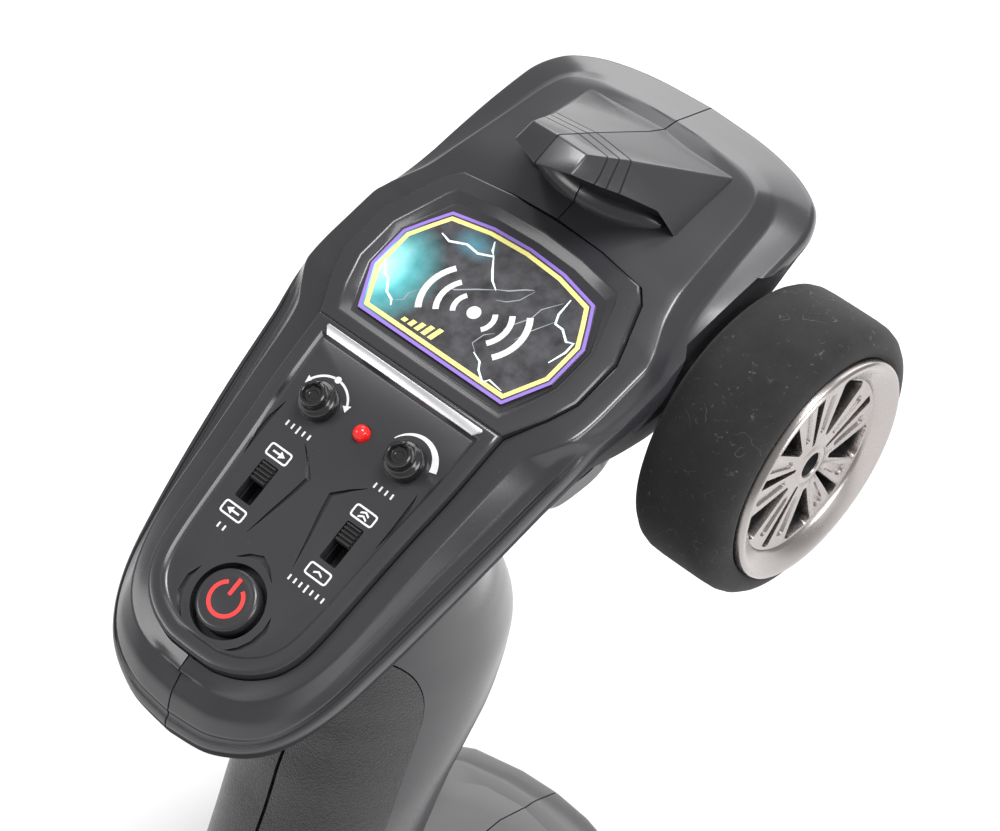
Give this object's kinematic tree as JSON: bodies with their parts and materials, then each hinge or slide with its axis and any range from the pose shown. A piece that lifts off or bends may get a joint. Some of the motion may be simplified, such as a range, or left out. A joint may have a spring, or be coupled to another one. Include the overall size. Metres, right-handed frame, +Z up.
{
  "type": "pistol-grip radio transmitter",
  "caption": "Pistol-grip radio transmitter for model cars, with a foam steering wheel, finger trigger, tilted control panel and battery base.",
  "frame": {"origin": "centre of the footprint on the plane of the rubber feet, on the symmetry plane of the housing", "axes": "+X towards the steering wheel, +Y forwards away from the user, +Z up"},
  "size_m": [0.0912, 0.1423, 0.218],
  "materials": {
    "shell": "dark grey satin moulded plastic with rounded glossy edges",
    "panel": "satin dark grey plate with raised ridges and printed markings",
    "badge": "dark gloss badge with violet and yellow outlines, a cyan glow and pale lightning lines",
    "trim": "satin silver strip",
    "led": "clear red dome",
    "knobs": "gloss black",
    "button": "gloss black dome with a red power mark",
    "sliders": "black ribbed plastic",
    "foam_tyre": "matt black foam rubber with fine grain",
    "rim": "satin champagne silver",
    "steel": "bright steel",
    "dark_plastic": "black moulded plastic",
    "grip_pad": "black leather-grained soft plastic",
    "board": "green circuit board",
    "pots": "blue plastic",
    "gold": "bright brass",
    "lead": "red insulated lead",
    "cells": "printed cell jackets",
    "rubber": "black rubber"
  },
  "bodies": {
    "housing": {"left_shell": "shell", "right_shell": "shell", "control_panel": "panel", "badge_plate": "badge", "trim_strip": "trim", "status_led": "led", "trim_pot": "pots", "rate_pot": "pots", "reverse_switch_body": "dark_plastic", "speed_switch_body": "dark_plastic", "power_tact_switch": "dark_plastic", "wheel_bush": "dark_plastic", "steering_pot": "pots", "steering_spring": "steel", "trigger_pin": "steel", "trigger_spring": "steel", "trigger_bracket": "dark_plastic", "throttle_pot": "pots", "left_grip_pad": "grip_pad", "right_grip_pad": "grip_pad", "main_board": "board", "board_screws": "steel", "radio_module": "board", "antenna_rod": "gold", "power_lead": "lead", "battery_tray": "dark_plastic", "battery_cells": "cells", "battery_springs": "steel", "battery_plates": "steel", "rubber_feet": "rubber", "housing_screws": "steel"},
    "wheel": {"wheel_tyre": "foam_tyre", "wheel_rim": "rim", "wheel_shaft": "steel", "wheel_screw": "steel"},
    "trigger": {"throttle_trigger": "dark_plastic"},
    "trim_dial": {"trim_knob": "knobs"},
    "rate_dial": {"rate_knob": "knobs"},
    "reverse_slider": {"reverse_switch_slider": "sliders"},
    "speed_slider": {"speed_switch_slider": "sliders"},
    "power_key": {"power_button": "button"},
    "door": {"battery_door": "shell", "door_pad": "rubber"}
  },
  "joints": [
    {"name": "steering", "type": "hinge", "parent": "housing", "child": "wheel", "pos_m": [0, 0.0495, 0.165], "axis": [1, 0, 0], "range_deg": [-35, 35], "stiffness_Nm_per_rad": 0.06},
    {"name": "throttle", "type": "hinge", "parent": "housing", "child": "trigger", "pos_m": [0, 0.043, 0.158], "axis": [-1, 0, 0], "range_deg": [-12, 20], "stiffness_Nm_per_rad": 0.05},
    {"name": "trim_turn", "type": "hinge", "parent": "housing", "child": "trim_dial", "pos_m": [-0.0098, -0.01083, 0.1781], "axis": [0, -0.5, 0.866], "range_deg": [-135, 135]},
    {"name": "rate_turn", "type": "hinge", "parent": "housing", "child": "rate_dial", "pos_m": [0.0098, -0.01083, 0.1781], "axis": [0, -0.5, 0.866], "range_deg": [-135, 135]},
    {"name": "reverse_slide", "type": "slide", "parent": "housing", "child": "reverse_slider", "axis": [0, -0.866, -0.5], "range_m": [0, 0.0037]},
    {"name": "speed_slide", "type": "slide", "parent": "housing", "child": "speed_slider", "axis": [0, -0.866, -0.5], "range_m": [0, 0.0037]},
    {"name": "power_press", "type": "slide", "parent": "housing", "child": "power_key", "axis": [0, 0.5, -0.866], "range_m": [0, 0.0012], "stiffness_N_per_m": 1200},
    {"name": "door_slide", "type": "slide", "parent": "housing", "child": "door", "axis": [0, -1, 0], "range_m": [0, 0.006]}
  ]
}
